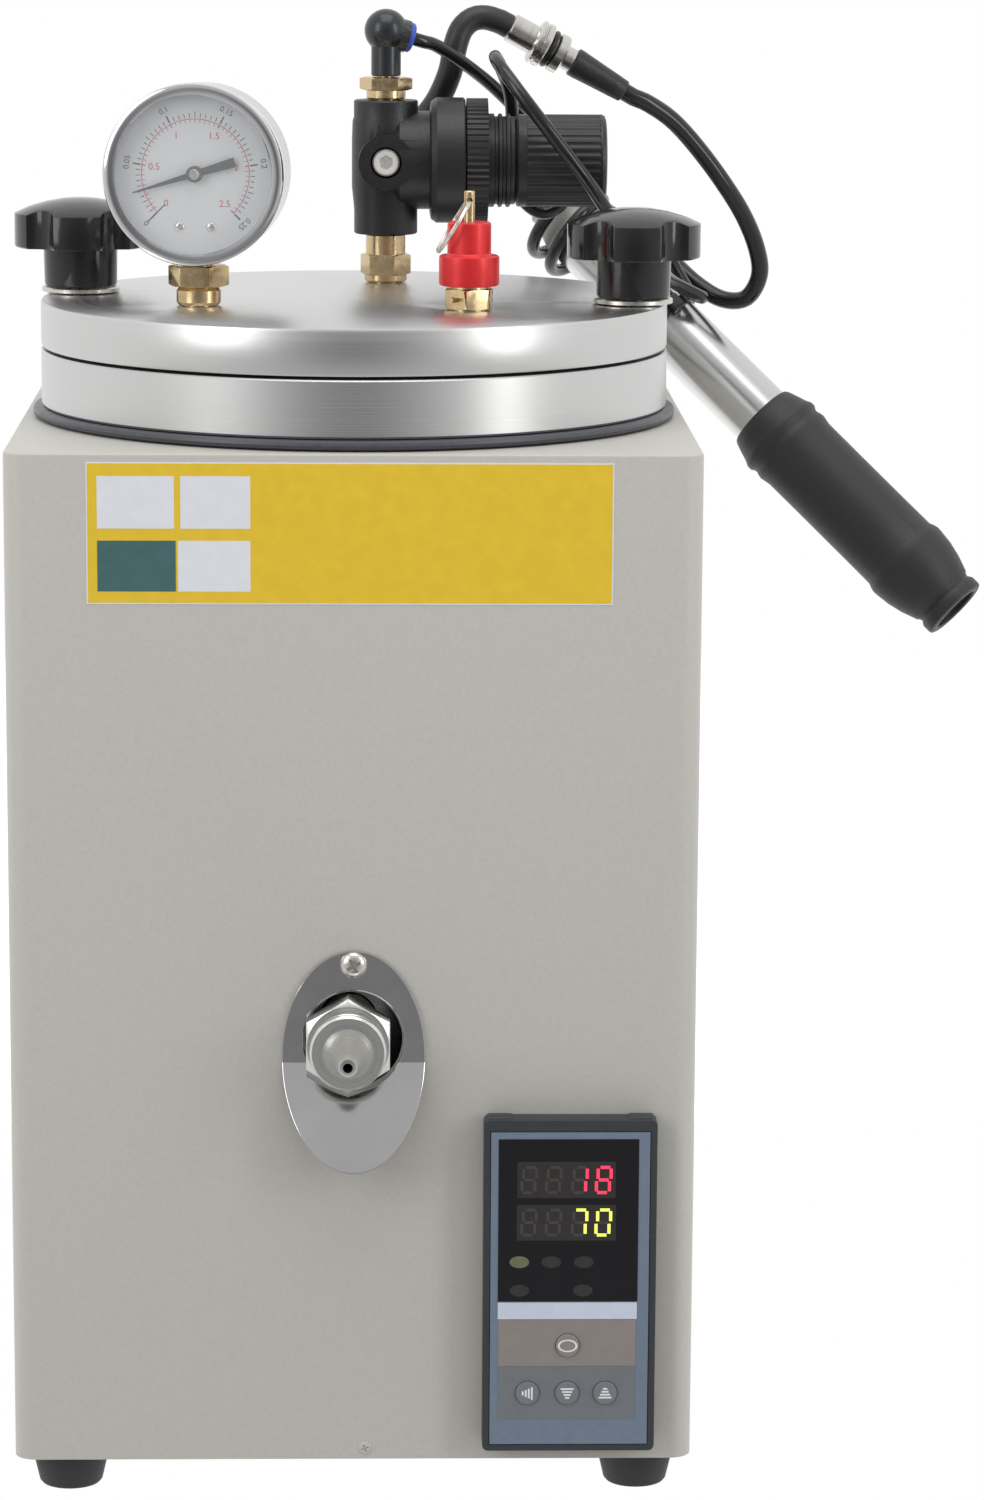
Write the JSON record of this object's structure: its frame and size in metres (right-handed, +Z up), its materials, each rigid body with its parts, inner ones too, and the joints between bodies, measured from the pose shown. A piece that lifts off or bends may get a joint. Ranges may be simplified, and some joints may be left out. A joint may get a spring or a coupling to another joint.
{
  "type": "wax injector",
  "caption": "Heated wax injector: sheet-metal case, clamped aluminium pot with gauge, regulator and relief valve, front nozzle, temperature controller and hand pump.",
  "frame": {"origin": "below the centre of the bounding box without the free air lines, on the plane of the feet's soles", "axes": "+Z up along the pot's axis; -Y towards the front, with the nozzle and controller; +X to the right as seen from the front"},
  "size_m": [0.29, 0.2966, 0.409],
  "materials": {
    "case_paint": "fine textured warm light grey powder coat",
    "foot_rubber": "moulded black rubber, matte",
    "seal_rubber": "dark blue-grey rubber, semi-matte",
    "turned_aluminium": "turned, with fine concentric tool marks",
    "gasket_silicone": "red silicone, smooth",
    "band_steel": "rolled steel strip",
    "glass_wool": "needled glass wool mat",
    "polished_stainless": "mirror-polished stainless sheet",
    "machined_steel": "machined stainless, satin",
    "zinc_steel": "zinc-plated steel",
    "knob_phenolic": "glossy black moulded phenolic",
    "bezel_plastic": "dark grey, finely grained",
    "panel_film": "blue-grey front film, satin",
    "key_plastic": "grey key tops",
    "gauge_chrome": "bright chromed steel",
    "dial_white": "silver-white printed dial with a plain scale",
    "needle_black": "matte black",
    "gauge_glass": "clear flat window",
    "fitting_brass": "turned brass, bright",
    "regulator_nylon": "black glass-filled nylon, fine grain",
    "plug_chrome": "nickel-plated plug and coupler",
    "elbow_plastic": "glossy black with a blue release ring",
    "cap_red": "bright red anodised cap",
    "ring_wire": "bright split ring",
    "hose_rubber": "matte black moulded rubber",
    "line_black": "glossy black hose",
    "pump_head_grey": "light grey moulded plastic",
    "barrel_satin": "satin chromed tube",
    "grip_rubber": "matte black rubber grip",
    "inlet_plastic": "black moulded inlet",
    "rocker_plastic": "glossy black rocker"
  },
  "bodies": {
    "base": {"case_body": "case_paint", "back_panel": "case_paint", "base_plate": "case_paint", "foot_front_left": "foot_rubber", "foot_front_right": "foot_rubber", "foot_rear_left": "foot_rubber", "foot_rear_right": "foot_rubber", "base_seal_ring": "seal_rubber", "tank": "turned_aluminium", "lid_gasket": "gasket_silicone", "heater_band": "band_steel", "insulation_wrap": "glass_wool", "thermocouple": "machined_steel", "drip_guard": "polished_stainless", "guard_screw": "zinc_steel", "nozzle_body": "machined_steel", "nozzle_spring": "machined_steel", "controller_case": "bezel_plastic", "controller_face": "panel_film", "power_inlet": "inlet_plastic", "pump_bracket": "zinc_steel", "pump_head": "pump_head_grey", "pump_barrel": "barrel_satin", "pump_hose": "line_black", "air_tube": "line_black"},
    "lid": {"lid": "turned_aluminium", "gauge_case": "gauge_chrome", "gauge_dial": "dial_white", "gauge_lens": "gauge_glass", "gauge_stem": "fitting_brass", "bourdon_tube": "fitting_brass", "regulator_body": "regulator_nylon", "regulator_nut": "regulator_nylon", "regulator_bonnet": "regulator_nylon", "regulator_spring": "zinc_steel", "port_plug": "plug_chrome", "outlet_nipple": "fitting_brass", "elbow_nipple": "fitting_brass", "elbow_fitting": "elbow_plastic", "valve_body": "fitting_brass", "valve_cap": "cap_red", "gooseneck": "hose_rubber", "hose_coupler": "plug_chrome", "strain_relief": "hose_rubber"},
    "star_knob_left": {"star_knob_left": "knob_phenolic", "knob_stud_left": "zinc_steel"},
    "star_knob_right": {"star_knob_right": "knob_phenolic", "knob_stud_right": "zinc_steel"},
    "needle": {"gauge_needle": "needle_black"},
    "regulator_knob": {"regulator_knob": "regulator_nylon"},
    "relief_stem": {"valve_stem": "fitting_brass"},
    "relief_ring": {"pull_ring": "ring_wire"},
    "nozzle_tip": {"nozzle_tip": "machined_steel"},
    "key_set": {"key_set": "key_plastic"},
    "key_left": {"key_left": "key_plastic"},
    "key_down": {"key_down": "key_plastic"},
    "key_up": {"key_up": "key_plastic"},
    "power_rocker": {"power_rocker": "rocker_plastic"},
    "pump_handle": {"pump_grip": "grip_rubber", "pump_rod": "zinc_steel"}
  },
  "joints": [
    {"name": "lid_lift", "type": "slide", "parent": "base", "child": "lid", "axis": [0, 0, 1], "range_m": [0, 0.04], "deforming": ["pump_hose", "air_tube"]},
    {"name": "star_knob_left_turn", "type": "hinge", "parent": "lid", "child": "star_knob_left", "pos_m": [-0.12648, 0.01247, 0.3282], "axis": [0, 0, 1], "continuous": true},
    {"name": "star_knob_right_turn", "type": "hinge", "parent": "lid", "child": "star_knob_right", "pos_m": [0.03252, -0.01753, 0.3282], "axis": [0, 0, 1], "continuous": true},
    {"name": "needle_turn", "type": "hinge", "parent": "lid", "child": "needle", "pos_m": [-0.09098, -0.02653, 0.3655], "axis": [0.1219, 0.9925, 0], "range_deg": [-28, 242]},
    {"name": "regulator_knob_turn", "type": "hinge", "parent": "lid", "child": "regulator_knob", "pos_m": [0.01222, 0.04747, 0.3645], "axis": [1, 0, 0], "range_deg": [-900, 900]},
    {"name": "relief_stem_pull", "type": "slide", "parent": "lid", "child": "relief_stem", "axis": [0, 0, 1], "range_m": [0, 0.0025], "stiffness_N_per_m": 4000, "springref_m": -0.002},
    {"name": "relief_ring_swing", "type": "hinge", "parent": "relief_stem", "child": "relief_ring", "pos_m": [-0.01478, -0.03653, 0.3588], "axis": [0, 1, 0], "range_deg": [0, 115]},
    {"name": "nozzle_press", "type": "slide", "parent": "base", "child": "nozzle_tip", "axis": [0, 1, 0], "range_m": [0, 0.003], "stiffness_N_per_m": 3000, "springref_m": -0.003, "deforming": ["nozzle_spring"]},
    {"name": "key_set_press", "type": "slide", "parent": "base", "child": "key_set", "axis": [0, 1, 0], "range_m": [0, 0.0005], "stiffness_N_per_m": 1200, "springref_m": -0.0002},
    {"name": "key_left_press", "type": "slide", "parent": "base", "child": "key_left", "axis": [0, 1, 0], "range_m": [0, 0.0005], "stiffness_N_per_m": 1200, "springref_m": -0.0002},
    {"name": "key_down_press", "type": "slide", "parent": "base", "child": "key_down", "axis": [0, 1, 0], "range_m": [0, 0.0005], "stiffness_N_per_m": 1200, "springref_m": -0.0002},
    {"name": "key_up_press", "type": "slide", "parent": "base", "child": "key_up", "axis": [0, 1, 0], "range_m": [0, 0.0005], "stiffness_N_per_m": 1200, "springref_m": -0.0002},
    {"name": "power_switch", "type": "hinge", "parent": "base", "child": "power_rocker", "pos_m": [-0.08698, 0.09327, 0.072], "axis": [0, 0, 1], "range_deg": [-12, 0]},
    {"name": "pump_stroke", "type": "slide", "parent": "base", "child": "pump_handle", "axis": [0.6834, -0.323, -0.6547], "range_m": [0, 0.055]}
  ]
}
